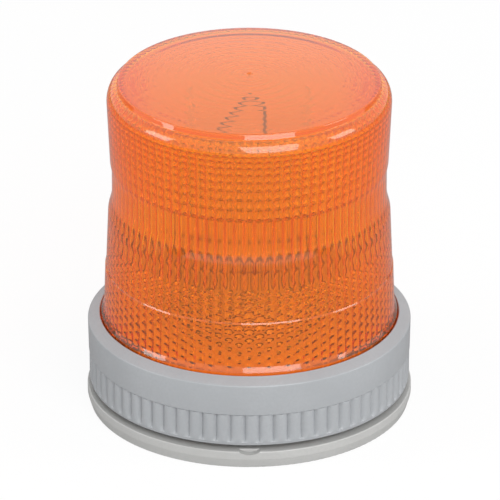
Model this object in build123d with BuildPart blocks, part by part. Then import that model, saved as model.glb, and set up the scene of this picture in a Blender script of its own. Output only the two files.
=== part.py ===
from build123d import *
import math
import os

# Surface-mount warning light: a grey base with a round plate, an amber lens that stands on it,
# and a ribbed bayonet collar that holds the lens flange down. A flash tube in a clear shield
# stands on the circuit board inside. The origin is the centre of the base's underside, +Z is
# up, and the front, where the base has its thumb notch, faces -Y. Millimetres.

os.makedirs("parts", exist_ok=True)

# Base plate and its upright wall
foot_r = 64.2
plate_r = 65.4
plate_h = 7.3
taper_h = 4.0
foot_round = 0.5
rim_round = 1.0
top_round = 0.5
wall_r = 58.0
wall_t = 2.8
wall_top = 30.0
conduit_r = 11.1
hub_r = 30.0
recess_r = 56.0
recess_h = 2.5
mount_pcd = 88.9
mount_hole_r = 2.4
mount_holes = 4
mounts_from = 45
notch_w = 8.5
notch_h = 1.3
notch_depth = 3.0

# Bayonet between the base wall and the collar
bayonets = 4
lugs_from = 45
lug_r = 61.4
lug_span = 40.0
lug_z = 19.6
lug_h = 3.6
lug_root = 0.5
stop_span = 3.0
stop_at = 52.5
tab_r = 58.7
tab_span = 24.0
tab_h = 3.6
tab_gap = 0.4
tab_root = 0.4

# Collar
collar_r = 65.0
band_r = 64.75
collar_low = 9.6
rib_low = 10.9
rib_top = 23.2
collar_edge = 36.1
bore_r = 62.4
lip_r = 60.1
lip_top = 38.5
lip_under = 35.5
lip_bevel = 0.4
lip_flat = 0.5
lip_slope_r = lip_r + 0.9
lip_slope_z = lip_top - 0.3
hem_low_r = 64.15
hem_top_r = 64.4
ribs = 70
rib_root_r = 63.9
rib_crest_r = 64.55
rib_phase = -91.6
edge_r = 0.4

# Lens
flange_r = 62.0
flange_low = 33.05
flange_top = 35.2
skirt_r = 59.6
skirt_top = 39.3
skirt_in_r = 55.4
skirt_blend = 2.2
foot_wall_r = 58.4
step_z = 60.3
step_h = 0.6
step_r = 57.8
step_in_r = 57.4
low_top = 84.5
low_top_r = 56.4
waist_low = 90.0
waist_top = 101.5
waist_r = 54.85
high_low = 105.0
high_low_r = 55.5
high_top = 131.0
high_top_r = 56.7
shoulder_z = 135.2
shoulder_r = 55.4
disc_base = 137.2
disc_base_r = 52.7
disc_top = 139.4
disc_top_r = 52.1
crown = 2.8
crown_in_drop = 1.6
lens_t = 3.0
flange_in_r = 55.5

# Gaskets
seal_r = 58.2
seal_top = 33.0
pad_gap = 0.2
pad_hole_gap = 0.6

# Circuit board and what stands on it
board_r = 50.0
board_t = 1.6
board_z = 17.3
board_top = board_z + board_t
post_ring_r = 40.0
posts = 3
posts_from = 90
legs_from = 60
post_r = 3.6
post_hole_r = 1.75
screw_r = 1.4
screw_tip = 3.6
pilot_low = 3.3
head_r = 3.1
head_h = 2.2
cross_l = 4.0
cross_w = 0.8
cross_depth = 1.0
wire_notch_r = 9.0

# Terminal block and its clamp screws
block_w = 15.0
block_d = 9.0
block_h = 10.5
block_y = -33.0
block_bevel = 1.2
way_pitch = 7.0
way_xs = (-way_pitch / 2, way_pitch / 2)
mouth = 3.6
mouth_z = board_top + 3.4
mouth_depth = 6.0
well_r = 2.0
clamp_r = 1.9
clamp_sink = 1.0
slot_l = 3.6
slot_w = 0.7
slot_depth = 0.8

# Storage capacitor
can_r = 6.2
can_l = 26.0
can_x = -34.0
can_edge = 0.8

# Transformer and trigger coil
core_w = 18.0
core_d = 12.0
core_h = 12.0
core_x = 33.0
core_low = board_top + 0.6
limb_w = 5.0
window_w = 4.5
window_h = 7.0
window_z = core_low + core_h / 2
coil_gap = 0.4
coil_end = 3.5
coil_corner = 3.0
winding_gap = 0.3
limb_gap = 0.2
trigger_x = 22.0
trigger_y = -26.0
trigger_r = 4.2
trigger_h = 9.5
trigger_edge = 0.8

# Fuse, its caps and clips
fuse_x = -19.0
fuse_y = -30.0
fuse_z = board_top + 4.6
fuse_l = 18.0
fuse_r = 2.2
fuse_cap_l = 4.5
fuse_cap_r = 2.5
clip_l = 3.0
clip_w = 6.6
clip_h = 5.2
clip_mouth_w = 3.6
clip_mouth_h = 4.0

# Timer chip, resistors and diodes
chip_y = 31.0
chip_w = 9.4
chip_d = 6.4
chip_h = 3.2
chip_low = board_top + 0.4
chip_bevel = 0.5
axial_r = 1.7
axial_l = 7.5
axial_x = 13.0
axial_ys = (23.0, 28.0, 33.0)

# Reflector, shield and lamp
reflector_z = 33.0
reflector_t = 1.2
reflector_r = 53.0
reflector_rim = 2.4
reflector_rim_t = 1.2
reflector_hole_r = 18.5
leg_r = 3.0
leg_ring_r = 47.0
shield_r = 25.5
shield_t = 1.5
shield_top = 130.0
shield_foot_r = 29.0
shield_foot_h = 1.6
socket_r = 17.5
socket_neck_r = 16.0
socket_neck_z = reflector_z - 0.5
socket_bevel_z = reflector_z - 2.0
socket_top = 36.0
cap_r = 15.0
cap_top = 46.0
cap_edge = 1.2
tube_r = 3.5
tube_bore_r = 2.5
tube_leg_x = 8.0
tube_arch = 102.0
electrode_r = 1.6
electrode_h = 9.0
wire_r = 0.6
left_wire_x = -12.8
left_wire_bend = 114.0
right_wire_x = 6.3
right_wire_bend = 127.0
wire_apex = 133.5
wire_y = -5.5
wire_bends = [6.0, 2.4, 2.4]


def turn(corners, mode=Mode.ADD):
    """Turn a closed outline of (radius, height) corners about the Z axis."""
    with BuildSketch(Plane.XZ) as outline:
        with BuildLine():
            Polyline(*corners, close=True)
        make_face()
    revolve(outline.sketch, axis=Axis.Z, mode=mode)


def ring_sector(inner, outer, low, height, span, centre):
    """Add a block bent round the Z axis, span degrees wide about the angle centre."""
    half = math.radians(span / 2)
    middle = math.radians(centre)
    ends = (middle - half, middle + half)

    def at(radius, angle):
        return (radius * math.cos(angle), radius * math.sin(angle))

    with BuildSketch(Plane.XY.offset(low)) as block:
        with BuildLine():
            Line(at(inner, ends[0]), at(outer, ends[0]))
            ThreePointArc(at(outer, ends[0]), at(outer, middle), at(outer, ends[1]))
            Line(at(outer, ends[1]), at(inner, ends[1]))
            ThreePointArc(at(inner, ends[1]), at(inner, middle), at(inner, ends[0]))
        make_face()
    extrude(block.sketch, amount=height)


def rod(points, radii, radius):
    """A round rod along straight runs joined by arcs of the given radii."""
    with BuildLine() as path:
        FilletPolyline(*points, radius=radii)
    with BuildSketch(Plane(origin=path.line @ 0, z_dir=path.line % 0)) as section:
        Circle(radius)
    sweep(section.sketch, path=path.line)


# Base housing: plate, upright wall, conduit hole, mounting holes and bayonet lugs
with BuildPart() as base_housing:
    turn([
        (conduit_r, 0),
        (hub_r, 0),
        (hub_r, recess_h),
        (recess_r, recess_h),
        (recess_r, 0),
        (foot_r, 0),
        (plate_r, taper_h),
        (plate_r, plate_h),
        (wall_r, plate_h),
        (wall_r, wall_top),
        (wall_r - wall_t, wall_top),
        (wall_r - wall_t, plate_h),
        (conduit_r, plate_h),
    ])
    for k in range(bayonets):
        lug_angle = lugs_from + 360 / bayonets * k
        ring_sector(wall_r - lug_root, lug_r, lug_z, lug_h, lug_span, lug_angle)
        stop_angle = 360 / bayonets * k - stop_at
        ring_sector(wall_r - lug_root, lug_r, lug_z - tab_h, tab_h, stop_span, stop_angle)
    with Locations(Plane.XY.offset(plate_h)):
        with PolarLocations(mount_pcd / 2, mount_holes, start_angle=mounts_from):
            Hole(mount_hole_r, depth=plate_h)
        with PolarLocations(post_ring_r, posts, start_angle=posts_from):
            Hole(screw_r, depth=plate_h - pilot_low)
    rim_rings = base_housing.edges().filter_by(GeomType.CIRCLE).group_by(SortBy.RADIUS)[-1]
    fillet(rim_rings.group_by(Axis.Z)[0], rim_round)
    foot_rings = base_housing.edges().filter_by(GeomType.CIRCLE).group_by(Axis.Z)[0]
    fillet(foot_rings.group_by(SortBy.RADIUS)[-1], foot_round)
    notch_r = ((notch_w / 2) ** 2 + notch_h ** 2) / (2 * notch_h)
    with BuildSketch(Plane.XZ.offset(plate_r - notch_depth)):
        with Locations((0, plate_h + notch_r - notch_h)):
            Circle(notch_r)
    extrude(amount=2 * notch_depth, mode=Mode.SUBTRACT)
    flat_faces = base_housing.faces().filter_by(Axis.Z)
    plate_face = flat_faces.sort_by(lambda face: face.bounding_box().size.X)[-1]
    fillet(plate_face.outer_wire().edges(), top_round)
base_housing.part.label = "base_housing"
export_step(base_housing.part, "parts/base_housing.step")

# Foam pad let into the underside, flush with the foot
with BuildPart() as base_gasket:
    with BuildSketch():
        Circle(recess_r - pad_gap)
        Circle(hub_r + pad_gap, mode=Mode.SUBTRACT)
        with PolarLocations(mount_pcd / 2, mount_holes, start_angle=mounts_from):
            Circle(mount_hole_r + pad_hole_gap, mode=Mode.SUBTRACT)
    extrude(amount=recess_h)
base_gasket.part.label = "base_gasket"
export_step(base_gasket.part, "parts/base_gasket.step")

# Rubber seal on top of the base wall
with BuildPart() as lens_gasket:
    with BuildSketch(Plane.XY.offset(wall_top)):
        Circle(seal_r)
        Circle(wall_r - wall_t, mode=Mode.SUBTRACT)
    extrude(amount=seal_top - wall_top)
lens_gasket.part.label = "lens_gasket"
export_step(lens_gasket.part, "parts/lens_gasket.step")

# Collar: a smooth band over a ring of convex grip ribs, a sloped lip and inward tabs
with BuildPart() as lens_collar:
    turn([
        (bore_r, collar_low),
        (hem_low_r, collar_low),
        (hem_top_r, rib_low),
        (rib_root_r, rib_low),
        (rib_root_r, rib_top),
        (band_r, rib_top),
        (collar_r, collar_edge - edge_r),
        (collar_r - edge_r, collar_edge),
        (lip_slope_r, lip_slope_z),
        (lip_r + lip_flat, lip_top),
        (lip_r, lip_top - lip_bevel),
        (lip_r, lip_under),
        (bore_r, lip_under),
    ])
    rib_step = 2 * math.pi / ribs
    rib_start = math.radians(rib_phase)
    with BuildSketch(Plane.XY.offset(rib_low)):
        with BuildLine():
            for k in range(ribs):
                valley = rib_start + rib_step * k
                crest = valley + rib_step / 2
                after = valley + rib_step
                ThreePointArc(
                    (rib_root_r * math.cos(valley), rib_root_r * math.sin(valley)),
                    (rib_crest_r * math.cos(crest), rib_crest_r * math.sin(crest)),
                    (rib_root_r * math.cos(after), rib_root_r * math.sin(after)),
                )
        make_face()
        Circle(bore_r, mode=Mode.SUBTRACT)
    extrude(amount=rib_top - rib_low)
    for k in range(bayonets):
        tab_low = lug_z - tab_gap - tab_h
        ring_sector(tab_r, bore_r + tab_root, tab_low, tab_h, tab_span, 360 / bayonets * k)
lens_collar.part.label = "lens_collar"
export_step(lens_collar.part, "parts/lens_collar.step")

# Lens: flange, flared skirt, lower wall, waist, upper wall, rounded shoulder and domed disc
with BuildPart() as lens:
    with BuildSketch(Plane.XZ):
        with BuildLine():
            Line((0, disc_top + crown - lens_t), (0, disc_top + crown))
            TangentArc((0, disc_top + crown), (disc_top_r, disc_top), tangent=(1, 0))
            Line((disc_top_r, disc_top), (disc_base_r, disc_base))
            ThreePointArc(
                (disc_base_r, disc_base),
                (shoulder_r, shoulder_z),
                (high_top_r, high_top),
            )
            Polyline(
                (high_top_r, high_top),
                (high_low_r, high_low),
                (waist_r, waist_top),
                (waist_r, waist_low),
                (low_top_r, low_top),
                (step_in_r, step_z),
                (step_r, step_z - step_h),
                (foot_wall_r, skirt_top + skirt_blend),
                (skirt_r, skirt_top),
                (skirt_r, flange_top),
                (flange_r, flange_top),
                (flange_r, flange_low),
                (flange_in_r, flange_low),
                (skirt_in_r, skirt_top),
                (step_in_r - lens_t, step_z),
                (low_top_r - lens_t, low_top),
                (waist_r - lens_t, waist_low),
                (waist_r - lens_t, waist_top),
                (high_low_r - lens_t, high_low),
                (high_top_r - lens_t, high_top),
                (disc_base_r - lens_t, disc_base - crown_in_drop),
            )
            TangentArc(
                (0, disc_top + crown - lens_t),
                (disc_base_r - lens_t, disc_base - crown_in_drop),
                tangent=(1, 0),
            )
        make_face()
    revolve(axis=Axis.Z)
lens.part.label = "lens"
export_step(lens.part, "parts/lens.step")

# Circuit board with a notch for the supply wires
with BuildPart() as circuit_board:
    with BuildSketch(Plane.XY.offset(board_z)):
        Circle(board_r)
        with Locations((0, -board_r)):
            Circle(wire_notch_r, mode=Mode.SUBTRACT)
        with PolarLocations(post_ring_r, posts, start_angle=posts_from):
            Circle(post_hole_r, mode=Mode.SUBTRACT)
    extrude(amount=board_t)
circuit_board.part.label = "circuit_board"
export_step(circuit_board.part, "parts/circuit_board.step")

# Nylon spacers under the board
with BuildPart() as board_spacers:
    with BuildSketch(Plane.XY.offset(plate_h)):
        with PolarLocations(post_ring_r, posts, start_angle=posts_from):
            RegularPolygon(post_r, 6)
            Circle(post_hole_r, mode=Mode.SUBTRACT)
    extrude(amount=board_z - plate_h)
board_spacers.part.label = "board_spacers"
export_step(board_spacers.part, "parts/board_spacers.step")

# Pan-head screws through the board and the spacers into the base
with BuildPart() as board_screws:
    with BuildSketch(Plane.XY.offset(screw_tip)):
        with PolarLocations(post_ring_r, posts, start_angle=posts_from):
            Circle(screw_r)
    extrude(amount=board_top - screw_tip)
    with BuildSketch(Plane.XY.offset(board_top)):
        with PolarLocations(post_ring_r, posts, start_angle=posts_from):
            Circle(head_r)
    extrude(amount=head_h)
    with BuildSketch(Plane.XY.offset(board_top + head_h - cross_depth)):
        with PolarLocations(post_ring_r, posts, start_angle=posts_from):
            Rectangle(cross_l, cross_w)
            Rectangle(cross_w, cross_l)
    extrude(amount=cross_depth, mode=Mode.SUBTRACT)
board_screws.part.label = "board_screws"
export_step(board_screws.part, "parts/board_screws.step")

# Two-way terminal block, with a wire mouth at the front of each way
with BuildPart() as terminal_block:
    with BuildSketch(Plane.XY.offset(board_top)):
        with Locations((0, block_y)):
            Rectangle(block_w, block_d)
    extrude(amount=block_h)
    chamfer(terminal_block.edges().filter_by(Axis.X).group_by(Axis.Z)[-1], block_bevel)
    for x in way_xs:
        with BuildSketch(Plane.XZ.offset(-(block_y - block_d / 2))):
            with Locations((x, mouth_z)):
                Rectangle(mouth, mouth)
        extrude(amount=-mouth_depth, mode=Mode.SUBTRACT)
        with BuildSketch(Plane.XY.offset(board_top + block_h)):
            with Locations((x, block_y)):
                Circle(well_r)
        extrude(amount=mouth_z - board_top - block_h, mode=Mode.SUBTRACT)
terminal_block.part.label = "terminal_block"
export_step(terminal_block.part, "parts/terminal_block.step")

# Clamp screws of the terminal block
with BuildPart() as terminal_screws:
    clamp_low = mouth_z + mouth / 2
    with BuildSketch(Plane.XY.offset(clamp_low)):
        with Locations(*[(x, block_y) for x in way_xs]):
            Circle(clamp_r)
    extrude(amount=board_top + block_h - clamp_sink - clamp_low)
    with BuildSketch(Plane.XY.offset(board_top + block_h - clamp_sink - slot_depth)):
        with Locations(*[(x, block_y) for x in way_xs]):
            Rectangle(slot_l, slot_w)
    extrude(amount=slot_depth, mode=Mode.SUBTRACT)
terminal_screws.part.label = "terminal_screws"
export_step(terminal_screws.part, "parts/terminal_screws.step")

# Storage capacitor, lying on the board
with BuildPart() as storage_capacitor:
    with BuildSketch(Plane.XZ.offset(-can_l / 2)):
        with Locations((can_x, board_top + can_r)):
            Circle(can_r)
    extrude(amount=can_l)
    fillet(storage_capacitor.edges().filter_by(GeomType.CIRCLE), can_edge)
storage_capacitor.part.label = "storage_capacitor"
export_step(storage_capacitor.part, "parts/storage_capacitor.step")

# Transformer: ferrite core with an open window, and its winding round the middle limb
with BuildPart() as transformer_core:
    with BuildSketch(Plane.XY.offset(core_low)):
        with Locations((core_x, 0)):
            Rectangle(core_w, core_d)
    extrude(amount=core_h)
    for side in (-1, 1):
        with BuildSketch(Plane.XZ.offset(-core_d / 2)):
            with Locations((core_x + side * (limb_w + window_w) / 2, window_z)):
                Rectangle(window_w, window_h)
        extrude(amount=core_d, mode=Mode.SUBTRACT)
transformer_core.part.label = "transformer_core"
export_step(transformer_core.part, "parts/transformer_core.step")

with BuildPart() as transformer_coil:
    with BuildSketch(Plane.XY.offset(window_z - window_h / 2 + winding_gap)):
        with Locations((core_x, 0)):
            RectangleRounded(limb_w + 2 * (window_w - coil_gap), core_d + 2 * coil_end, coil_corner)
            Rectangle(limb_w + 2 * limb_gap, core_d + 2 * limb_gap, mode=Mode.SUBTRACT)
    extrude(amount=window_h - 2 * winding_gap)
transformer_coil.part.label = "transformer_coil"
export_step(transformer_coil.part, "parts/transformer_coil.step")

# Trigger coil beside the socket
with BuildPart() as trigger_coil:
    with BuildSketch(Plane.XY.offset(board_top)):
        with Locations((trigger_x, trigger_y)):
            Circle(trigger_r)
    extrude(amount=trigger_h)
    fillet(trigger_coil.edges().group_by(Axis.Z)[-1], trigger_edge)
trigger_coil.part.label = "trigger_coil"
export_step(trigger_coil.part, "parts/trigger_coil.step")

# Fuse in two clips
with BuildPart() as fuse:
    with BuildSketch(Plane.YZ.offset(fuse_x - fuse_l / 2 + fuse_cap_l)):
        with Locations((fuse_y, fuse_z)):
            Circle(fuse_r)
    extrude(amount=fuse_l - 2 * fuse_cap_l)
fuse.part.label = "fuse"
export_step(fuse.part, "parts/fuse.step")

with BuildPart() as fuse_caps:
    for start in (fuse_x - fuse_l / 2, fuse_x + fuse_l / 2 - fuse_cap_l):
        with BuildSketch(Plane.YZ.offset(start)):
            with Locations((fuse_y, fuse_z)):
                Circle(fuse_cap_r)
        extrude(amount=fuse_cap_l)
fuse_caps.part.label = "fuse_caps"
export_step(fuse_caps.part, "parts/fuse_caps.step")

with BuildPart() as fuse_clips:
    for middle in (fuse_x - fuse_l / 2 + fuse_cap_l / 2, fuse_x + fuse_l / 2 - fuse_cap_l / 2):
        with BuildSketch(Plane.YZ.offset(middle - clip_l / 2)):
            with Locations((fuse_y, board_top + clip_h / 2)):
                Rectangle(clip_w, clip_h)
            with Locations((fuse_y, fuse_z)):
                Circle(fuse_cap_r, mode=Mode.SUBTRACT)
            with Locations((fuse_y, fuse_z + clip_mouth_h / 2)):
                Rectangle(clip_mouth_w, clip_mouth_h, mode=Mode.SUBTRACT)
        extrude(amount=clip_l)
fuse_clips.part.label = "fuse_clips"
export_step(fuse_clips.part, "parts/fuse_clips.step")

# Timer chip
with BuildPart() as timer_chip:
    with BuildSketch(Plane.XY.offset(chip_low)):
        with Locations((0, chip_y)):
            Rectangle(chip_w, chip_d)
    extrude(amount=chip_h)
    chamfer(timer_chip.edges().group_by(Axis.Z)[-1], chip_bevel)
timer_chip.part.label = "timer_chip"
export_step(timer_chip.part, "parts/timer_chip.step")

# Resistors and diodes, two rows of small axial parts
with BuildPart() as resistors:
    for y in axial_ys:
        with BuildSketch(Plane.YZ.offset(axial_x)):
            with Locations((y, board_top + axial_r)):
                Circle(axial_r)
        extrude(amount=axial_l)
resistors.part.label = "resistors"
export_step(resistors.part, "parts/resistors.step")

with BuildPart() as rectifier_diodes:
    for y in axial_ys:
        with BuildSketch(Plane.YZ.offset(-axial_x - axial_l)):
            with Locations((y, board_top + axial_r)):
                Circle(axial_r)
        extrude(amount=axial_l)
rectifier_diodes.part.label = "rectifier_diodes"
export_step(rectifier_diodes.part, "parts/rectifier_diodes.step")

# Lamp socket on the middle of the board
with BuildPart() as lamp_socket:
    turn([
        (0, board_top),
        (socket_r, board_top),
        (socket_r, socket_bevel_z),
        (socket_neck_r, socket_neck_z),
        (socket_neck_r, socket_top),
        (0, socket_top),
    ])
lamp_socket.part.label = "lamp_socket"
export_step(lamp_socket.part, "parts/lamp_socket.step")

# Reflector: a shallow dish on three legs that covers the board
with BuildPart() as reflector:
    turn([
        (reflector_hole_r, reflector_z),
        (reflector_r, reflector_z),
        (reflector_r, reflector_z + reflector_rim),
        (reflector_r - reflector_rim_t, reflector_z + reflector_rim),
        (reflector_r - reflector_rim_t - reflector_t, reflector_z + reflector_t),
        (reflector_hole_r, reflector_z + reflector_t),
    ])
    with BuildSketch(Plane.XY.offset(board_top)):
        with PolarLocations(leg_ring_r, posts, start_angle=legs_from):
            Circle(leg_r)
    extrude(amount=reflector_z - board_top)
reflector.part.label = "reflector"
export_step(reflector.part, "parts/reflector.step")

# Clear shield round the lamp, with a foot ring on the reflector
with BuildPart() as lamp_shield:
    shield_low = reflector_z + reflector_t
    turn([
        (shield_r - shield_t, shield_low),
        (shield_foot_r, shield_low),
        (shield_foot_r, shield_low + shield_foot_h),
        (shield_r, shield_low + shield_foot_h),
        (shield_r, shield_top),
        (shield_r - shield_t, shield_top),
    ])
lamp_shield.part.label = "lamp_shield"
export_step(lamp_shield.part, "parts/lamp_shield.step")

# Ceramic lamp base
with BuildPart() as lamp_base:
    with BuildSketch(Plane.XY.offset(socket_top)):
        Circle(cap_r)
    extrude(amount=cap_top - socket_top)
    fillet(lamp_base.edges().group_by(Axis.Z)[-1], cap_edge)
lamp_base.part.label = "lamp_base"
export_step(lamp_base.part, "parts/lamp_base.step")

# Flash tube: a thick glass arch standing on the lamp base
with BuildPart() as flash_tube:
    with BuildSketch(Plane.XY.offset(cap_top)) as tube_section:
        with Locations((-tube_leg_x, 0)):
            Circle(tube_r)
            Circle(tube_bore_r, mode=Mode.SUBTRACT)
    with BuildLine() as tube_path:
        Line((-tube_leg_x, 0, cap_top), (-tube_leg_x, 0, tube_arch))
        ThreePointArc(
            (-tube_leg_x, 0, tube_arch),
            (0, 0, tube_arch + tube_leg_x),
            (tube_leg_x, 0, tube_arch),
        )
        Line((tube_leg_x, 0, tube_arch), (tube_leg_x, 0, cap_top))
    sweep(tube_section.sketch, path=tube_path.line)
flash_tube.part.label = "flash_tube"
export_step(flash_tube.part, "parts/flash_tube.step")

# Electrodes inside the two legs of the flash tube
with BuildPart() as tube_electrodes:
    with BuildSketch(Plane.XY.offset(cap_top)):
        with Locations((-tube_leg_x, 0), (tube_leg_x, 0)):
            Circle(electrode_r)
    extrude(amount=electrode_h)
tube_electrodes.part.label = "tube_electrodes"
export_step(tube_electrodes.part, "parts/tube_electrodes.step")

# Support and trigger wires beside the flash tube, meeting above it
with BuildPart() as lamp_wires:
    rod(
        [
            (left_wire_x, wire_y, cap_top),
            (left_wire_x, wire_y, left_wire_bend),
            (0, wire_y, wire_apex),
            (right_wire_x, wire_y, right_wire_bend),
            (right_wire_x, wire_y, cap_top),
        ],
        wire_bends,
        wire_r,
    )
lamp_wires.part.label = "lamp_wires"
export_step(lamp_wires.part, "parts/lamp_wires.step")
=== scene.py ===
"""Looks of a surface-mount amber warning light, built round its fixed frame."""

import math

import bmesh
import bpy
from bpy.props import FloatProperty, FloatVectorProperty, IntProperty, PointerProperty
from mathutils import Matrix, Vector


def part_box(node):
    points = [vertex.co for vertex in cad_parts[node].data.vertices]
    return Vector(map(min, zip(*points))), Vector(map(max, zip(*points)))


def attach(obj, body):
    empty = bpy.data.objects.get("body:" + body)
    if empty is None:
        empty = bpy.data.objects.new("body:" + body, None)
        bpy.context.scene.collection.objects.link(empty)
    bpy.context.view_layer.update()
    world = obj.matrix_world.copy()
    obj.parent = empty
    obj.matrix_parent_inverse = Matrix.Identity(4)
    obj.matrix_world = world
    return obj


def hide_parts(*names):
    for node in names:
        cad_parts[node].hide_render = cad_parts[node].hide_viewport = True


bl_info = {
    "name": "Amber Warning Light",
    "version": (1, 0, 0),
    "blender": (4, 5, 0),
    "location": "View3D > Sidebar > Warning Light",
    "description": "Amber prism lens, ribbed collar, base and lamp of a surface-mount warning light",
    "category": "Add Mesh",
}

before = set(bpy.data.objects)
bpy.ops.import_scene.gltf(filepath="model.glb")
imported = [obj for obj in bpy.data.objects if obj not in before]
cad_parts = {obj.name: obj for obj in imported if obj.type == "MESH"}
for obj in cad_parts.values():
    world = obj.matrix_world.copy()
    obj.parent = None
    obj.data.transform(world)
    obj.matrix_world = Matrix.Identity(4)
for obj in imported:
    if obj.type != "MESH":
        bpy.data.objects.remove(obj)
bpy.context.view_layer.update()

MM = 0.001
COLLAR_LOW, COLLAR_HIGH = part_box("lens_collar")
BASE_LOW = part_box("base_housing")[0]

WELD = 0.002 * MM
WHITE = (1.0, 1.0, 1.0, 1.0)
FLOOR_GAP = 0.05 * MM
LAMP_MIDDLE = Vector((0.0, 0.0, 0.07))


# ---------------------------------------------------------------- settings


class LensSettings(bpy.types.PropertyGroup):
    """Sizes and tint of the amber lens."""

    flutes: IntProperty(name="Flutes", description="Upright prisms round the inside", default=90)
    steps: IntProperty(name="Steps", description="Mesh steps across one flute", default=5)
    wall: FloatProperty(
        name="Wall", description="Thickness of the wall", default=3.0 * MM, unit="LENGTH"
    )
    flute_depth: FloatProperty(
        name="Flute depth", description="How far a flute stands in", default=0.9 * MM, unit="LENGTH"
    )
    cell_depth: FloatProperty(
        name="Cell depth", description="How far a prism cell stands in", default=0.85 * MM,
        unit="LENGTH",
    )
    cell_pitch: FloatProperty(
        name="Cell pitch", description="Height of a cell in the lower wall", default=3.5 * MM,
        unit="LENGTH",
    )
    ring_pitch: FloatProperty(
        name="Ring pitch", description="Spacing of the rings under the top", default=4.25 * MM,
        unit="LENGTH",
    )
    ring_depth: FloatProperty(
        name="Ring depth", description="Height of the rings under the top", default=0.16 * MM,
        unit="LENGTH",
    )
    tint: FloatVectorProperty(
        name="Tint", description="What the plastic lets through", subtype="COLOR", size=3,
        default=(0.988, 0.90, 0.3), min=0.0, max=1.0,
    )
    skin: FloatVectorProperty(
        name="Skin", description="What each pair of faces lets through", subtype="COLOR", size=3,
        default=(0.975, 0.505, 0.075), min=0.0, max=1.0,
    )
    density: FloatProperty(
        name="Density", description="How strongly the plastic absorbs, per metre", default=600.0
    )


class CollarSettings(bpy.types.PropertyGroup):
    """Sizes and colour of the twist-on collar."""

    ribs: IntProperty(name="Ribs", description="Grip ribs round the collar", default=70)
    steps: IntProperty(name="Steps", description="Mesh steps across one rib", default=8)
    rib_depth: FloatProperty(
        name="Rib depth", description="How deep the grooves between ribs are", default=1.45 * MM,
        unit="LENGTH",
    )
    colour: FloatVectorProperty(
        name="Colour", description="Grey of the collar", subtype="COLOR", size=3,
        default=(0.355, 0.37, 0.385), min=0.0, max=1.0,
    )


class BaseSettings(bpy.types.PropertyGroup):
    """Colour of the base."""

    colour: FloatVectorProperty(
        name="Colour", description="Grey of the base", subtype="COLOR", size=3,
        default=(0.45, 0.45, 0.44), min=0.0, max=1.0,
    )


class StageSettings(bpy.types.PropertyGroup):
    """Camera, lights and floor."""

    elevation: FloatProperty(
        name="Elevation", description="Camera above the horizon", default=math.radians(25.5),
        subtype="ANGLE",
    )
    distance: FloatProperty(
        name="Distance", description="Camera to the middle of the light", default=2.7, unit="LENGTH"
    )
    focal: FloatProperty(name="Focal length", description="In millimetres", default=484.8)
    aim: FloatVectorProperty(
        name="Aim", description="Where the camera points", subtype="XYZ", size=3,
        default=(0.28 * MM, 0.0, 64.85 * MM),
    )
    world: FloatProperty(name="World", description="Strength of the even white light", default=0.62)


# ---------------------------------------------------------------- mesh tools


def rounded(corners, steps=4):
    """Rounds each (radius, height, fillet) corner of an open outline; returns (radius, height) points."""
    points = []
    for index, (r, z, fillet) in enumerate(corners):
        here = Vector((r, z))
        if not fillet or index in (0, len(corners) - 1):
            points.append((r, z))
            continue
        before = (Vector(corners[index - 1][:2]) - here).normalized()
        after = (Vector(corners[index + 1][:2]) - here).normalized()
        half = before.angle(after) / 2
        reach = fillet / math.tan(half)
        centre = here + (before + after).normalized() * (fillet / math.sin(half))
        start = here + before * reach - centre
        sweep = start.angle_signed(here + after * reach - centre)
        for step in range(steps + 1):
            turned = start.copy()
            turned.rotate(Matrix.Rotation(-sweep * step / steps, 2))
            points.append(tuple(centre + turned))
    return points


def quarter(centre, width, height, steps, rising=True):
    """Points of a quarter ellipse from its side up to its top, or down from its top."""
    turns = [math.pi / 2 * step / steps for step in range(steps + 1)]
    points = [(centre[0] + width * math.cos(t), centre[1] + height * math.sin(t)) for t in turns]
    return points if rising else points[::-1]


def dome(rim_radius, rim_height, rise, radii):
    """Points of a shallow dome over the given radii."""
    curve = (rim_radius ** 2 + rise ** 2) / (2 * rise)
    floor = rim_height + rise - curve
    return [(r, floor + math.sqrt(curve ** 2 - r ** 2)) for r in radii]


def draw_outline(bm, points, closed=True, start=0.0):
    """Draws (radius, height) points, in millimetres, in the upright plane at an angle."""
    direction = Vector((math.cos(start), math.sin(start), 0.0))
    verts = [bm.verts.new(direction * (r * MM) + Vector((0, 0, z * MM))) for r, z in points]
    edges = [bm.edges.new(pair) for pair in zip(verts, verts[1:])]
    if closed:
        edges.append(bm.edges.new((verts[-1], verts[0])))
    return verts, edges


def spin(bm, geom, angle, steps, copies=False):
    """Sweeps geometry about the Z axis, or copies it round."""
    bmesh.ops.spin(
        bm, geom=geom, cent=(0, 0, 0), axis=(0, 0, 1), angle=angle, steps=steps,
        use_merge=False, use_duplicate=copies,
    )


def full_turn(bm, verts, edges, steps, sectors):
    """Turns an outline right round: sweeps one sector, copies it round and welds the seams."""
    spin(bm, verts + edges, math.tau / sectors, steps // sectors)
    sector = [*bm.verts, *bm.edges, *bm.faces]
    spin(bm, sector, math.tau * (sectors - 1) / sectors, sectors - 1, copies=True)
    bmesh.ops.remove_doubles(bm, verts=bm.verts, dist=WELD)


def bent_block(bm, corners, middle, span, steps):
    """A closed block with the given (radius, height) section, bent round the Z axis."""
    verts, _ = draw_outline(bm, corners, start=middle - span / 2)
    section = bm.faces.new(verts)
    spin(bm, [*verts, *section.edges, section], span, steps)


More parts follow.
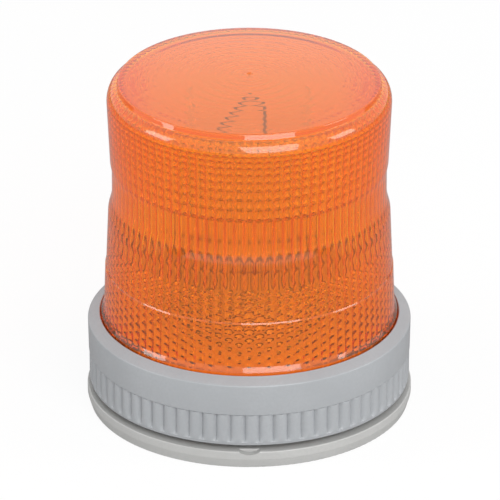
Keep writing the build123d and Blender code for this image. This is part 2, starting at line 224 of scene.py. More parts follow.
def finished(bm, name, body, slot, *materials, sharp=35.0):
    """Makes a piece of the bmesh, smooth but for its sharp edges, riding on its body."""
    bmesh.ops.remove_doubles(bm, verts=bm.verts, dist=WELD)
    bmesh.ops.recalc_face_normals(bm, faces=bm.faces)
    for face in bm.faces:
        face.smooth = True
    limit = math.radians(sharp)
    for edge in bm.edges:
        edge.smooth = len(edge.link_faces) == 2 and edge.calc_face_angle(0.0) < limit
    mesh = bpy.data.meshes.new(name)
    bm.to_mesh(mesh)
    bm.free()
    for material in materials:
        mesh.materials.append(material)
    piece = bpy.data.objects.new(name, mesh)
    bpy.context.scene.collection.objects.link(piece)
    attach(piece, body)
    return piece


# ---------------------------------------------------------------- material tools


class Shader:
    """A material's node tree, with short calls to add and join nodes."""

    def __init__(self, name):
        self.material = bpy.data.materials.new(name)
        self.material.use_nodes = True
        self.tree = self.material.node_tree
        self.surface = self.tree.nodes["Principled BSDF"]
        self.output = self.tree.nodes["Material Output"]
        self.place = self.add("ShaderNodeTexCoord").outputs["Object"]

    def add(self, kind, inputs=(), **settings):
        """Adds a node, sets its properties, and links or sets its inputs."""
        node = self.tree.nodes.new(kind)
        for key, value in settings.items():
            setattr(node, key, value)
        for key, value in dict(inputs).items():
            if isinstance(value, bpy.types.NodeSocket):
                self.tree.links.new(value, node.inputs[key])
            else:
                node.inputs[key].default_value = value
        return node

    def noise(self, scale, detail=3.0, roughness=0.55, vector=None):
        """Grey noise, scale in cycles per metre."""
        inputs = {"Vector": vector or self.place, "Scale": scale, "Detail": detail, "Roughness": roughness}
        return self.add("ShaderNodeTexNoise", inputs).outputs["Fac"]

    def spread(self, value, low, high, new_low, new_high):
        """Maps a value from one range to another, held at its ends."""
        inputs = {"Value": value, "From Min": low, "From Max": high, "To Min": new_low, "To Max": new_high}
        return self.add("ShaderNodeMapRange", inputs).outputs["Result"]

    def math(self, operation, first, second=0.0):
        """One step of arithmetic."""
        return self.add("ShaderNodeMath", {0: first, 1: second}, operation=operation).outputs[0]

    def blend(self, factor, first, second):
        """Mixes two colours."""
        node = self.add("ShaderNodeMix", {"Factor": factor}, data_type="RGBA")
        for socket, value in ((node.inputs[6], first), (node.inputs[7], second)):
            if isinstance(value, bpy.types.NodeSocket):
                self.tree.links.new(value, socket)
            else:
                socket.default_value = (*value, 1.0)
        return node.outputs[2]

    def bump(self, height, strength, depth):
        """Surface relief from a height value, depth in metres."""
        return self.add(
            "ShaderNodeBump", {"Height": height, "Strength": strength, "Distance": depth}
        ).outputs["Normal"]

    def set(self, **inputs):
        """Sets or links inputs of the surface shader; an underscore stands for a space."""
        for key, value in inputs.items():
            socket = self.surface.inputs[key.replace("_", " ")]
            if isinstance(value, bpy.types.NodeSocket):
                self.tree.links.new(value, socket)
            elif isinstance(value, tuple) and len(value) == 3 and socket.type == "RGBA":
                socket.default_value = (*value, 1.0)
            else:
                socket.default_value = value


def shade(colour, factor):
    """A lighter or darker version of a colour."""
    return tuple(min(1.0, channel * factor) for channel in colour)


def moulded(name, colour, roughness=0.42, grain=0.25, pitch=2600.0):
    """Moulded plastic: cloudy colour, fine grain and faint handling marks."""
    s = Shader(name)
    cloud = s.spread(s.noise(38.0), 0.3, 0.7, 0.0, 1.0)
    fleck = s.spread(s.noise(900.0, 2.0), 0.35, 0.65, 0.0, 1.0)
    base = s.blend(cloud, shade(colour, 0.95), shade(colour, 1.05))
    s.set(Base_Color=s.blend(s.math("MULTIPLY", fleck, 0.5), base, shade(colour, 0.93)))
    marks = s.noise(240.0, 4.0)
    s.set(Roughness=s.spread(marks, 0.35, 0.7, roughness - 0.04, roughness + 0.06))
    s.set(Normal=s.bump(s.noise(pitch, 2.0), grain, 0.04 * MM))
    return s.material


# ---------------------------------------------------------------- finishes

LONGEST_PATH = 7.5
LONGEST_LENS_PATH = 3.5


def lets_light_in(s, colour, longest=LONGEST_PATH):
    """Lets lamps shine on what stands inside, and ends the longest paths between prisms."""
    path = s.add("ShaderNodeLightPath").outputs
    passing = s.math("MAXIMUM", path["Is Shadow Ray"], path["Is Diffuse Ray"])
    passing = s.math("MAXIMUM", passing, s.math("GREATER_THAN", path["Ray Depth"], longest))
    clear = s.add("ShaderNodeBsdfTransparent", {"Color": (*colour, 1.0)}).outputs[0]
    mixed = s.add("ShaderNodeMixShader", {0: passing, 1: s.surface.outputs[0], 2: clear}).outputs[0]
    s.tree.links.new(mixed, s.output.inputs["Surface"])


def amber_plastic(settings):
    """Amber polycarbonate: tinted through its thickness, polished, slightly cloudy and wavy."""
    s = Shader("amber_polycarbonate")
    lets_light_in(s, tuple(math.sqrt(channel) for channel in settings.skin), LONGEST_LENS_PATH)
    haze = s.spread(s.noise(60.0, 4.0), 0.35, 0.7, 0.02, 0.06)
    s.set(Base_Color=tuple(settings.skin), Transmission_Weight=0.95, IOR=1.586, Roughness=haze)
    s.set(Normal=s.bump(s.noise(130.0, 2.0), 0.12, 0.12 * MM))
    tint = s.add(
        "ShaderNodeVolumeAbsorption", {"Color": (*settings.tint, 1.0), "Density": settings.density}
    )
    s.tree.links.new(tint.outputs["Volume"], s.output.inputs["Volume"])
    return s.material


# ---------------------------------------------------------------- stage

# Lamps as (name, place in metres, side in metres, watts).
LAMPS = (
    ("key", (0.6, -1.9, 1.15), 1.7, 36.0),
    ("left", (-1.8, -0.4, 0.8), 0.8, 9.0),
    ("right", (1.9, -0.3, 0.9), 0.8, 8.0),
)
FLOOR_HALF = 8.0
FLOOR_GLOW = 1.06
FLOOR_GLOW_SHARE = 0.85
BACKDROP = 1.15


class BEACON_OT_studio(bpy.types.Operator):
    """Adds the camera, the pale floor and the soft lights"""

    bl_idname = "beacon.studio"
    bl_label = "Studio"

    def execute(self, context):
        settings = context.scene.beacon_stage
        context.scene.view_settings.view_transform = "Standard"
        aim = Vector(settings.aim)
        reach = Vector((0, -math.cos(settings.elevation), math.sin(settings.elevation)))
        data = bpy.data.cameras.new("camera")
        data.lens = settings.focal
        data.sensor_width = 36.0
        data.clip_start = 0.1
        data.clip_end = 50.0
        camera = bpy.data.objects.new("camera", data)
        camera.location = aim + reach * settings.distance
        camera.rotation_euler = (math.pi / 2 - settings.elevation, 0, 0)
        context.scene.collection.objects.link(camera)
        context.scene.camera = camera

        bm = bmesh.new()
        bmesh.ops.create_grid(bm, x_segments=12, y_segments=12, size=FLOOR_HALF)
        bmesh.ops.translate(bm, verts=bm.verts, vec=(0, 0, BASE_LOW.z - FLOOR_GAP))
        mesh = bpy.data.meshes.new("floor")
        bm.to_mesh(mesh)
        bm.free()
        mesh.materials.append(self.floor_paint())
        floor = bpy.data.objects.new("floor", mesh)
        context.scene.collection.objects.link(floor)

        for lamp in LAMPS:
            self.panel_light(*lamp)
        self.even_light(settings.world)
        return {"FINISHED"}

    def floor_paint(self):
        """A pale, almost white sweep."""
        s = Shader("pale_floor")
        path = s.add("ShaderNodeLightPath").outputs
        paint = s.blend(s.noise(3.0), (0.62, 0.62, 0.62), (0.66, 0.66, 0.66))
        s.set(Base_Color=s.blend(path["Is Glossy Ray"], paint, (0.4, 0.4, 0.4)))
        s.set(Roughness=0.9, Specular_IOR_Level=0.1)
        seen = s.math("MAXIMUM", path["Is Camera Ray"], path["Transmission Depth"])
        seen = s.math("MINIMUM", seen, 1.0)
        lit = s.add("ShaderNodeEmission", {"Color": WHITE, "Strength": FLOOR_GLOW}).outputs[0]
        share = s.math("MULTIPLY", seen, FLOOR_GLOW_SHARE)
        mixed = s.add("ShaderNodeMixShader", {0: share, 1: s.surface.outputs[0], 2: lit}).outputs[0]
        s.tree.links.new(mixed, s.output.inputs["Surface"])
        return s.material

    def panel_light(self, name, place, size, power):
        """A square soft light that faces the lamp."""
        data = bpy.data.lights.new(name, "AREA")
        data.size = size
        data.energy = power
        light = bpy.data.objects.new(name, data)
        light.location = place
        light.rotation_euler = (LAMP_MIDDLE - Vector(place)).to_track_quat("-Z", "Y").to_euler()
        bpy.context.scene.collection.objects.link(light)

    def even_light(self, strength):
        """White light from all round, weaker where it lights than where it is seen."""
        world = bpy.data.worlds.new("even_light")
        world.use_nodes = True
        tree = world.node_tree
        path = tree.nodes.new("ShaderNodeLightPath")
        level = tree.nodes.new("ShaderNodeMapRange")
        level.inputs["To Min"].default_value = BACKDROP
        level.inputs["To Max"].default_value = strength
        tree.links.new(path.outputs["Is Diffuse Ray"], level.inputs["Value"])
        tree.nodes["Background"].inputs["Color"].default_value = WHITE
        tree.links.new(level.outputs["Result"], tree.nodes["Background"].inputs["Strength"])
        bpy.context.scene.world = world


# ---------------------------------------------------------------- lens

# Heights and radii in millimetres.
GATE_RADII = [0, 0.5, 1.0, 1.4]
GATE_DEPTH = 0.3
DISC_RADII = [6, 12, 19, 26, 33, 40, 46, 50, 51.2]
CROWN_RISE = 2.8
RIM_FILLET = 0.6
DISC_TOP = (52.1, 139.4)
DISC_BASE = (52.7, 137.2)
SHOULDER = (56.7, 131.0)
UPPER_LOW = (55.5, 105.0)
WAIST_R = 54.85
WAIST_TOP = 101.5
WAIST_LOW = 90.0
LOWER_TOP = (56.4, 84.5)
STEP_Z = 60.3
STEP_R = 57.8
STEP_IN_R = 57.4
STEP_HEIGHT = 0.6
FOOT_WALL_R = 58.4
FOOT_FLARE = 2.2
SKIRT = (59.6, 39.3)
FLANGE_TOP = 35.2
FLANGE_LOW = 33.05
FLANGE_R = 62.0
FLANGE_IN_R = 55.5
SKIRT_IN = (55.4, 38.0)
CELL_LOW = 38.7
CELL_HIGH = 73.7
TALL_ROWS = (CELL_HIGH, 79.3, 85.1)
FLUTE_HEIGHTS = (TALL_ROWS[-1], 86.6, 88.2, WAIST_LOW, 93.0, 97.0, WAIST_TOP, 102.8)
UPPER_FIRST = 104.0
UPPER_ROWS = 8
UPPER_GROWTH = 0.34
ARCH_ROWS = 3
ROOF_DROP = 1.6
RING_HUB_R = 0.4
ROW_STEPS = 4
FLUTES_PER_SECTOR = 5

# Kinds of relief that an inner point can carry.
CELLS, FLUTES, UPPER_CELLS, RINGS, ARCH_CELLS, TALL_CELLS = range(1, 7)

# Depth at a cell's crest, and the part of it that runs on between the cells of a column.
LOW_CELL_CREST = 0.8
ARCH_CELL_CREST = 0.6
UPPER_CELL_RUN = 0.2
TALL_CELL_RUN = 0.6

# Keeps points on a seam between two columns or rows in the later one.
SEAM = 1e-6


class BEACON_OT_lens(bpy.types.Operator):
    """Adds the amber lens: smooth outside, prism cells, flutes and rings inside"""

    bl_idname = "beacon.lens"
    bl_label = "Lens"

    def execute(self, context):
        settings = context.scene.beacon_lens
        self.settings = settings
        self.wall = settings.wall / MM
        bm = bmesh.new()
        relief = bm.verts.layers.int.new("relief")
        place = bm.verts.layers.float.new("place")
        outer = self.outer_outline()
        inner = self.inner_outline()
        points = outer + [point[:2] for point in inner]
        columns = settings.flutes * settings.steps
        verts, edges = draw_outline(bm, points, closed=False)
        for vert, (_, _, kind, along) in zip(verts[len(outer):], inner):
            vert[relief] = kind
            vert[place] = along
        full_turn(bm, verts, edges, columns, settings.flutes // FLUTES_PER_SECTOR)
        for vert in bm.verts:
            if vert[relief]:
                self.press(vert, vert[relief], vert[place])
        piece = finished(bm, "amber_lens", "lens", "lens_amber", amber_plastic(settings), sharp=32.0)
        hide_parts("lens")
        return {"FINISHED"}

    def outer_outline(self):
        """The smooth outside, from the crown's middle down to the flange and in to its inner edge."""
        disc = dome(DISC_TOP[0], DISC_TOP[1], CROWN_RISE, GATE_RADII + DISC_RADII)
        disc = [(r, z - GATE_DEPTH * (k in (1, 2))) for k, (r, z) in enumerate(disc)]
        shoulder = quarter(
            (DISC_BASE[0], SHOULDER[1]), SHOULDER[0] - DISC_BASE[0], DISC_BASE[1] - SHOULDER[1], 7, False
        )
        rim = rounded([
            (*disc[-1], 0),
            (*DISC_TOP, RIM_FILLET),
            (*DISC_BASE, RIM_FILLET / 2),
            (*shoulder[1], 0),
        ], 3)
        side = rounded([
            (*shoulder[-1], 0),
            (*UPPER_LOW, 8.0),
            (WAIST_R, WAIST_TOP, 12.0),
            (WAIST_R, WAIST_LOW, 16.0),
            (*LOWER_TOP, 8.0),
            (STEP_IN_R, STEP_Z, 0.3),
            (STEP_R, STEP_Z - STEP_HEIGHT, 0.3),
            (FOOT_WALL_R, SKIRT[1] + FOOT_FLARE, 2.0),
            (*SKIRT, 1.0),
            (SKIRT[0], FLANGE_TOP, 0.3),
            (FLANGE_R, FLANGE_TOP, 0.4),
            (FLANGE_R, FLANGE_LOW, 0.4),
            (FLANGE_IN_R, FLANGE_LOW, 0),
        ], 2)
        return disc[:-1] + rim[:-1] + shoulder[1:-1] + side

    def inner_outline(self):
        """The inside, from the flange up to the middle of the top, as (radius, height, kind, along).

        Along runs from -1 to 1 over each prism row, for the kinds of relief that have rows.
        """
        wall = self.wall
        pitch = self.settings.cell_pitch / MM
        rows = [(*SKIRT_IN, 0, 0.0)]
        for step in range(round((CELL_HIGH - CELL_LOW) / pitch * ROW_STEPS)):
            z = CELL_LOW + step * pitch / ROW_STEPS
            rows.append((self.inner_radius(z), z, CELLS, 0.0))
        for low, high in zip(TALL_ROWS, TALL_ROWS[1:]):
            rows += self.prism_row(low, high, TALL_CELLS)
        for z in FLUTE_HEIGHTS:
            rows.append((self.inner_radius(z), z, FLUTES, 0.0))
        heights = [1 - UPPER_GROWTH * (k / (UPPER_ROWS - 1) - 0.5) * 2 for k in range(UPPER_ROWS)]
        scale = (SHOULDER[1] - UPPER_FIRST) / sum(heights)
        low = UPPER_FIRST
        for height in heights:
            rows += self.prism_row(low, low + height * scale, UPPER_CELLS)
            low += height * scale
        roof = DISC_BASE[1] - ROOF_DROP
        rim = DISC_BASE[0] - wall
        reach = SHOULDER[0] - wall - rim
        arch = quarter((rim, SHOULDER[1]), reach, roof - SHOULDER[1], ARCH_ROWS * ROW_STEPS)
        for step, (r, z) in enumerate(arch[:-1]):
            rows.append((r, z, ARCH_CELLS, step % ROW_STEPS * 2 / ROW_STEPS - 1))
        ring = self.settings.ring_pitch / MM
        steps = math.ceil((rim - RING_HUB_R) / ring * ROW_STEPS)
        radii = [rim - step * ring / ROW_STEPS for step in range(steps)]
        rise = DISC_TOP[1] + CROWN_RISE - wall - roof
        rows += [(r, z, RINGS, 0.0) for r, z in dome(rim, roof, rise, [*radii, 0.0])]
        return rows

    def prism_row(self, low, high, kind):
        """The mesh rows that shape one row of upright prism cells."""
        heights = [low + (high - low) * step / ROW_STEPS for step in range(ROW_STEPS)]
        return [(self.inner_radius(z), z, kind, step * 2 / ROW_STEPS - 1) for step, z in enumerate(heights)]

    def inner_radius(self, z):
        """Radius of the plain inner wall at a height."""
        stations = [
            (SKIRT_IN[1], SKIRT_IN[0]),
            (STEP_Z, STEP_IN_R - self.wall),
            (LOWER_TOP[1], LOWER_TOP[0] - self.wall),
            (WAIST_LOW, WAIST_R - self.wall),
            (WAIST_TOP, WAIST_R - self.wall),
            (UPPER_LOW[1], UPPER_LOW[0] - self.wall),
            (SHOULDER[1], SHOULDER[0] - self.wall),
        ]
        for (low, near), (high, far) in zip(stations, stations[1:]):
            if z <= high:
                share = (z - low) / (high - low)
                return near + (far - near) * share
        return stations[-1][1]

    def press(self, vert, kind, along):
        """Moves an inner point to the surface of its prism, flute or ring."""
        settings = self.settings
        radius = vert.co.xy.length
        z = vert.co.z
        if kind == RINGS:
            wave = math.cos(math.tau * radius / settings.ring_pitch)
            vert.co.z -= settings.ring_depth * (0.5 + 0.5 * wave)
            return
        turn = math.atan2(vert.co.y, vert.co.x) / math.tau * settings.flutes
        column = math.floor(turn + SEAM)
        across = 2 * (turn - column) - 1
        flute = max(0.0, 1 - across * across)
        crest = max(0.0, 1 - along * along)
        if kind == CELLS:
            level = (z / MM - CELL_LOW) / (settings.cell_pitch / MM) + 0.5 * (column % 2)
            along = 2 * (level - math.floor(level + SEAM)) - 1
            depth = settings.cell_depth * LOW_CELL_CREST * flute * max(0.0, 1 - along * along)
        elif kind == FLUTES:
            depth = settings.flute_depth * flute
        elif kind == UPPER_CELLS:
            depth = settings.cell_depth * flute * (UPPER_CELL_RUN + (1 - UPPER_CELL_RUN) * crest)
        elif kind == TALL_CELLS:
            depth = settings.flute_depth * flute * (TALL_CELL_RUN + (1 - TALL_CELL_RUN) * crest)
        else:
            depth = settings.cell_depth * ARCH_CELL_CREST * flute * crest
            lift = math.atan2(z / MM - SHOULDER[1], radius / MM - DISC_BASE[0] + self.wall)
            vert.co.z -= depth * math.sin(lift)
            depth *= math.cos(lift)
        vert.co.xy *= (radius - depth) / radius


# ---------------------------------------------------------------- collar

COLLAR_BORE_R = 62.4
BAND_R = 64.75
COLLAR_EDGE = 36.1
RIB_LOW = 10.9
RIB_TOP = 23.2
RIB_CREST_R = 64.55
RIB_MESH_ROWS = 7
RIBS_PER_SECTOR = 5
RIB_FADE = 0.7
LIP_R = 60.1
LIP_UNDER = 35.5
HEM_R = 64.2
TAB_R = 58.7
TAB_LOW = 15.6
TAB_TOP = 19.2
TAB_SPAN = 24.0
TABS = 4
RIB_PHASE = -91.6


class BEACON_OT_collar(bpy.types.Operator):
    """Adds the collar: smooth band, sloped lip, convex grip ribs and bayonet tabs"""

    bl_idname = "beacon.collar"
    bl_label = "Collar"

    def execute(self, context):
        settings = context.scene.beacon_collar
        low = COLLAR_LOW.z / MM
        high = COLLAR_HIGH.z / MM
        edge_r = COLLAR_HIGH.x / MM
        outline = rounded([
            (COLLAR_BORE_R, LIP_UNDER, 0),
            (COLLAR_BORE_R, low, 0.3),
            (HEM_R, low, 0.5),
            (HEM_R, RIB_LOW, 0.2),
            (RIB_CREST_R - 0.15, RIB_LOW, 0.12),
        ], 3)
        spacing = (RIB_TOP - RIB_LOW - 1.3) / (RIB_MESH_ROWS - 1)
        outline += [(RIB_CREST_R, RIB_LOW + 0.5 + spacing * row) for row in range(RIB_MESH_ROWS)]
        outline += [(RIB_CREST_R - 0.12, RIB_TOP - 0.45), (RIB_CREST_R - 0.45, RIB_TOP - 0.2)]
        outline += rounded([
            (RIB_CREST_R - 0.75, RIB_TOP - 0.05, 0),
            (BAND_R, RIB_TOP, 0.25),
            (edge_r, COLLAR_EDGE, 0.8),
            (LIP_R + 0.9, high - 0.3, 0.3),
            (LIP_R + 0.5, high, 0.2),
            (LIP_R, high, 0.3),
            (LIP_R, LIP_UNDER, 0.2),
            (COLLAR_BORE_R, LIP_UNDER, 0),
        ], 4)
        bm = bmesh.new()
        drawn = draw_outline(bm, outline[:-1], start=math.radians(RIB_PHASE))
        full_turn(bm, *drawn, settings.ribs * settings.steps, settings.ribs // RIBS_PER_SECTOR)
        for vert in bm.verts:
            self.carve(vert, settings)
        for tab in range(TABS):
            block = rounded([
                (COLLAR_BORE_R + 0.4, TAB_LOW, 0),
                (TAB_R, TAB_LOW, 0.5),
                (TAB_R, TAB_TOP, 0.3),
                (COLLAR_BORE_R + 0.4, TAB_TOP, 0),
            ], 2)
            bent_block(bm, block, math.tau / TABS * tab, math.radians(TAB_SPAN), 18)
        paint = moulded("collar_grey", tuple(settings.colour), roughness=0.36)
        piece = finished(bm, "grip_collar", "collar", "collar_grey", paint)
        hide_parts("lens_collar")
        return {"FINISHED"}

    def carve(self, vert, settings):
        """Shapes the grooves between the ribs, which fade out towards their lower end."""
        radius = vert.co.xy.length
        z = vert.co.z / MM
        if radius / MM < RIB_CREST_R - 1.2 or not RIB_LOW + 0.1 < z < RIB_TOP - 0.1:
            return
        turn = (math.degrees(math.atan2(vert.co.y, vert.co.x)) - RIB_PHASE) / 360 * settings.ribs
        across = 2 * (turn - math.floor(turn)) - 1
        groove = 0.5 * across * across + 0.5 * (1 - math.sqrt(max(0.0, 1 - across * across)))
        fade = min(1.0, (z - RIB_LOW) / RIB_FADE)
        target = RIB_CREST_R * MM - settings.rib_depth * groove * fade
        if radius > target:
            vert.co.xy *= target / radius


# ---------------------------------------------------------------- base


class BEACON_OT_base(bpy.types.Operator):
    """Gives the base housing its grey moulded finish"""

    bl_idname = "beacon.base"
    bl_label = "Base"

    def execute(self, context):
        settings = context.scene.beacon_base
        paint_node("base_housing", moulded("base_grey", tuple(settings.colour), roughness=0.4))
        return {"FINISHED"}


def paint_node(node, material):
    """Puts one material on a part of the frame."""
    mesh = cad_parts[node].data
    mesh.materials.clear()
    mesh.materials.append(material)


# ---------------------------------------------------------------- inside


def clear_moulding(name, colour, ior=1.49, alpha=1.0):
    """Clear plastic or glass with faint flow waves."""
    s = Shader(name)
    s.set(Base_Color=colour, Transmission_Weight=1.0, IOR=ior, Alpha=alpha)
    s.set(Roughness=s.spread(s.noise(70.0), 0.35, 0.7, 0.02, 0.07))
    s.set(Normal=s.bump(s.noise(160.0, 2.0), 0.08, 0.08 * MM))
    lets_light_in(s, shade(colour, 0.97))
    return s.material


def stretched(s, scale):
    """Object coordinates stretched along each axis, for grain and stripes."""
    return s.add("ShaderNodeMapping", {"Vector": s.place, "Scale": scale}).outputs["Vector"]


def metal(name, colour, roughness=0.3):
    """Bare metal: drawn grain, dull patches and a slightly uneven face."""
    s = Shader(name)
    grain = s.noise(1.0, 4.0, vector=stretched(s, (900.0, 900.0, 5200.0)))
    dull = s.spread(s.noise(420.0, 5.0), 0.42, 0.68, 0.0, 1.0)
    s.set(Base_Color=s.blend(dull, colour, shade(colour, 0.76)), Metallic=1.0)
    drawn = s.spread(grain, 0.3, 0.7, roughness - 0.07, roughness + 0.07)
    s.set(Roughness=s.math("ADD", drawn, s.math("MULTIPLY", dull, 0.12)))
    s.set(Normal=s.bump(grain, 0.25, 0.01 * MM))
    return s.material


def soft_rubber(name, colour, pore, depth):
    """Rubber or foam: matt, with pores painted darker in their pits as painted shade, and a pale bloom."""
    s = Shader(name)
    pores = s.add("ShaderNodeTexVoronoi", {"Vector": s.place, "Scale": pore}).outputs["Distance"]
    bloom = s.spread(s.noise(55.0, 5.0), 0.45, 0.75, 0.0, 0.5)
    # The pore pits get a darker copy of the colour: painted shade in the hollows.
    s.set(Base_Color=s.blend(bloom, s.blend(pores, shade(colour, 0.7), colour), shade(colour, 1.4)))
    s.set(Roughness=s.spread(pores, 0.0, 0.6, 0.88, 0.68), Specular_IOR_Level=0.3)
    s.set(Normal=s.bump(pores, 0.6, depth))
    return s.material


def circuit_laminate():
    """Solder-masked board: raised tracks under green mask, tinned pads and glass weave."""
    s = Shader("board_mask")
    tracks = s.add(
        "ShaderNodeTexBrick",
        {"Vector": s.place, "Scale": 1.0, "Brick Width": 11 * MM, "Row Height": 3.7 * MM,
         "Mortar Size": 0.55 * MM, "Mortar Smooth": 0.1},
        offset=0.37, squash=0.6, squash_frequency=3,
    ).outputs["Fac"]
    dots = s.add(
        "ShaderNodeTexVoronoi", {"Vector": stretched(s, (1.0, 1.0, 0.02)), "Scale": 190.0, "Randomness": 0.8}
    ).outputs["Distance"]
    pads = s.math("LESS_THAN", dots, 0.16)
    weave = s.noise(1.0, 2.0, vector=stretched(s, (2400.0, 2400.0, 50.0)))
    mask = s.blend(tracks, (0.012, 0.105, 0.035), (0.03, 0.2, 0.07))
    mask = s.blend(s.math("MULTIPLY", weave, 0.3), mask, (0.02, 0.13, 0.05))
    s.set(Base_Color=s.blend(pads, mask, (0.66, 0.64, 0.6)), Metallic=s.math("MULTIPLY", pads, 0.9))
    s.set(Roughness=s.spread(weave, 0.3, 0.7, 0.26, 0.4), Coat_Weight=s.math("SUBTRACT", 1.0, pads))
    s.set(Normal=s.bump(s.math("ADD", tracks, s.math("MULTIPLY", weave, 0.2)), 0.5, 0.05 * MM))
    return s.material


def wound_wire(name, colour, gap_shade, turns):
    """Enamelled wire in close turns, with painted shade in the gaps between them."""
    s = Shader(name)
    waves = s.add(
        "ShaderNodeTexWave",
        {"Vector": s.place, "Scale": turns, "Distortion": 0.6, "Detail": 1.0, "Detail Scale": 2.0},
        wave_type="BANDS", bands_direction="Z", wave_profile="SIN",
    ).outputs["Fac"]
    patches = s.spread(s.noise(180.0), 0.35, 0.65, 0.0, 0.5)
    wire = s.blend(patches, colour, shade(colour, 0.8))
    # The gap colour is painted shade, darker in the valleys between the turns.
    s.set(Base_Color=s.blend(s.spread(waves, 0.0, 0.45, 0.0, 1.0), gap_shade, wire), Metallic=0.25)
    s.set(Roughness=s.spread(patches, 0.0, 0.5, 0.28, 0.4), Coat_Weight=0.5, Coat_Roughness=0.15)
    s.set(Normal=s.bump(waves, 0.8, 0.12 * MM))
    return s.material


def banded(name, colour, bands, scale, share):
    """Lacquered body with bands painted across it over a share of its length."""
    s = Shader(name)
    wave = s.add(
        "ShaderNodeTexWave", {"Vector": s.place, "Scale": scale, "Distortion": 0.3},
        wave_type="BANDS", bands_direction="X",
    ).outputs["Fac"]
    cloud = s.spread(s.noise(300.0), 0.3, 0.7, 0.0, 1.0)
    body = s.blend(cloud, shade(colour, 0.92), shade(colour, 1.06))
    s.set(Base_Color=s.blend(s.math("LESS_THAN", wave, share), body, bands))
    s.set(Roughness=s.spread(s.noise(700.0), 0.3, 0.7, 0.32, 0.46), Coat_Weight=0.3)
    s.set(Normal=s.bump(cloud, 0.15, 0.03 * MM))
    return s.material


def frame_middle(node):
    """Middle of a part of the frame, seen from above."""
    low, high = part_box(node)
    return (low.x + high.x) / 2, (low.y + high.y) / 2


STRIPE_TURN = -0.9
STRIPE_HALF = 0.28


def sleeved_can():
    """Shrink sleeve over a can: dark blue film with one pale stripe and fine creases, painted darker in
    their hollows as painted shade.
    """
    s = Shader("can_sleeve")
    x, y = frame_middle("storage_capacitor")
    parts = s.add("ShaderNodeSeparateXYZ", {"Vector": s.place}).outputs
    turn = s.math("ARCTAN2", s.math("SUBTRACT", parts["Y"], y), s.math("SUBTRACT", parts["X"], x))
    away = s.math("ABSOLUTE", s.math("SUBTRACT", turn, STRIPE_TURN))
    stripe = s.math("LESS_THAN", away, STRIPE_HALF)
    creases = s.noise(1.0, 4.0, vector=stretched(s, (260.0, 260.0, 900.0)))
    # The film colour is darker in the crease hollows: painted shade.
    film = s.blend(s.spread(creases, 0.3, 0.7, 0.0, 1.0), (0.022, 0.032, 0.085), (0.035, 0.05, 0.12))
    s.set(Base_Color=s.blend(stripe, film, (0.42, 0.44, 0.46)))
    s.set(Roughness=s.spread(creases, 0.3, 0.7, 0.24, 0.42), Coat_Weight=0.4)
    s.set(Normal=s.bump(creases, 0.25, 0.05 * MM))
    return s.material


def glazed(name, colour, speck, coat=0.6):
    """Fired or pressed body: fine specks under a thin glaze."""
    s = Shader(name)
    specks = s.spread(s.noise(1500.0, 2.0), 0.58, 0.7, 0.0, 0.8)
    cloud = s.spread(s.noise(90.0), 0.3, 0.7, 0.0, 1.0)
    body = s.blend(cloud, shade(colour, 0.93), shade(colour, 1.04))
    s.set(Base_Color=s.blend(specks, body, speck), Coat_Weight=coat, Coat_Roughness=0.12)
    s.set(Roughness=s.spread(cloud, 0.0, 1.0, 0.34, 0.5))
    s.set(Normal=s.bump(s.noise(800.0), 0.2, 0.03 * MM))
    return s.material


STEEL = (0.62, 0.62, 0.6)
BRASS = (0.72, 0.53, 0.24)


def paint_nodes(finishes):
    """Puts a finish on each named part of the frame."""
    for node, finish in finishes.items():
        paint_node(node, finish)


class BEACON_OT_lamp(bpy.types.Operator):
    """Gives the shield, flash tube, its fittings and the reflector their finishes"""

    bl_idname = "beacon.lamp"
    bl_label = "Lamp"

    def execute(self, context):
        paint_nodes({
            "lamp_shield": clear_moulding("clear_plastic", (0.96, 0.96, 0.95), 1.08, 0.25),
            "flash_tube": clear_moulding("tube_glass", (0.97, 0.98, 1.0), 1.47),
            "tube_electrodes": metal("tungsten", (0.36, 0.35, 0.34), 0.38),
            "lamp_wires": metal("nickel_wire", (0.16, 0.12, 0.1), 0.42),
            "lamp_base": glazed("ceramic", (0.82, 0.81, 0.77), (0.6, 0.58, 0.52)),
            "lamp_socket": glazed("phenolic", (0.085, 0.045, 0.03), (0.17, 0.1, 0.06), 0.3),
            "reflector": moulded("reflector_satin", (0.86, 0.83, 0.78), 0.34, grain=0.05, pitch=900.0),
        })
        return {"FINISHED"}


class BEACON_OT_seals(bpy.types.Operator):
    """Gives the lens seal and the foam pad under the base their finishes"""

    bl_idname = "beacon.seals"
    bl_label = "Seals"

    def execute(self, context):
        paint_nodes({
            "lens_gasket": soft_rubber("seal_silicone", (0.42, 0.41, 0.39), 1600.0, 0.02 * MM),
            "base_gasket": soft_rubber("foam_pad", (0.06, 0.06, 0.062), 900.0, 0.15 * MM),
        })
        return {"FINISHED"}


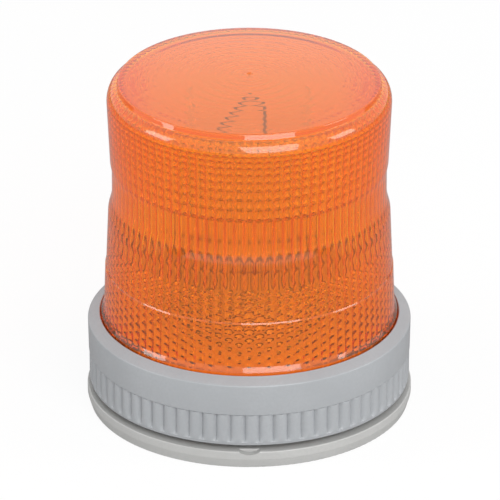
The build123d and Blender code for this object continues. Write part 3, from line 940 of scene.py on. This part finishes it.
class BEACON_OT_board(bpy.types.Operator):
    """Gives the circuit board and everything mounted on it their finishes"""

    bl_idname = "beacon.board"
    bl_label = "Board"

    def execute(self, context):
        paint_nodes({
            "circuit_board": circuit_laminate(),
            "board_spacers": moulded("nylon", (0.8, 0.78, 0.71), roughness=0.5),
            "board_screws": metal("zinc_screw", STEEL, 0.28),
            "terminal_block": moulded("terminal_green", (0.03, 0.27, 0.12), roughness=0.45),
            "terminal_screws": metal("plated_screw", STEEL, 0.24),
            "storage_capacitor": sleeved_can(),
            "transformer_core": soft_rubber("ferrite", (0.075, 0.075, 0.08), 2600.0, 0.01 * MM),
            # The third colour of each winding is its painted shade between the turns.
            "transformer_coil": wound_wire("yellow_winding", (0.72, 0.5, 0.07), (0.2, 0.11, 0.02), 230.0),
            "trigger_coil": wound_wire("red_winding", (0.42, 0.05, 0.025), (0.1, 0.012, 0.01), 320.0),
            "fuse": clear_moulding("fuse_glass", (0.97, 0.98, 0.98), 1.52),
            "fuse_caps": metal("cap_nickel", (0.7, 0.67, 0.6), 0.22),
            "fuse_clips": metal("clip_brass", BRASS, 0.3),
            "timer_chip": moulded("chip_epoxy", (0.022, 0.022, 0.024), roughness=0.55, grain=0.5),
            "resistors": banded("resistor_lacquer", (0.56, 0.42, 0.25), (0.25, 0.06, 0.03), 95.0, 0.35),
            "rectifier_diodes": banded("diode_epoxy", (0.02, 0.02, 0.022), (0.55, 0.55, 0.55), 60.0, 0.12),
        })
        return {"FINISHED"}


# ---------------------------------------------------------------- add-on


class BEACON_PT_panel(bpy.types.Panel):
    """Lists the pieces of the warning light"""

    bl_label = "Warning Light"
    bl_idname = "BEACON_PT_panel"
    bl_space_type = "VIEW_3D"
    bl_region_type = "UI"
    bl_category = "Warning Light"

    def draw(self, context):
        for name in OPERATORS:
            self.layout.operator(name)


SETTINGS = {
    "beacon_lens": LensSettings,
    "beacon_collar": CollarSettings,
    "beacon_base": BaseSettings,
    "beacon_stage": StageSettings,
}
OPERATOR_CLASSES = (
    BEACON_OT_studio, BEACON_OT_lens, BEACON_OT_collar, BEACON_OT_base,
    BEACON_OT_lamp, BEACON_OT_seals, BEACON_OT_board,
)
OPERATORS = tuple(kind.bl_idname for kind in OPERATOR_CLASSES)
CLASSES = (*SETTINGS.values(), *OPERATOR_CLASSES, BEACON_PT_panel)


def register():
    for kind in CLASSES:
        bpy.utils.register_class(kind)
    for name, kind in SETTINGS.items():
        setattr(bpy.types.Scene, name, PointerProperty(type=kind))


def unregister():
    for name in SETTINGS:
        delattr(bpy.types.Scene, name)
    for kind in reversed(CLASSES):
        bpy.utils.unregister_class(kind)


def main():
    """Builds every piece in order."""
    register()
    for name in OPERATORS:
        area, operator = name.split(".")
        getattr(getattr(bpy.ops, area), operator)()


if __name__ == "__main__":
    main()
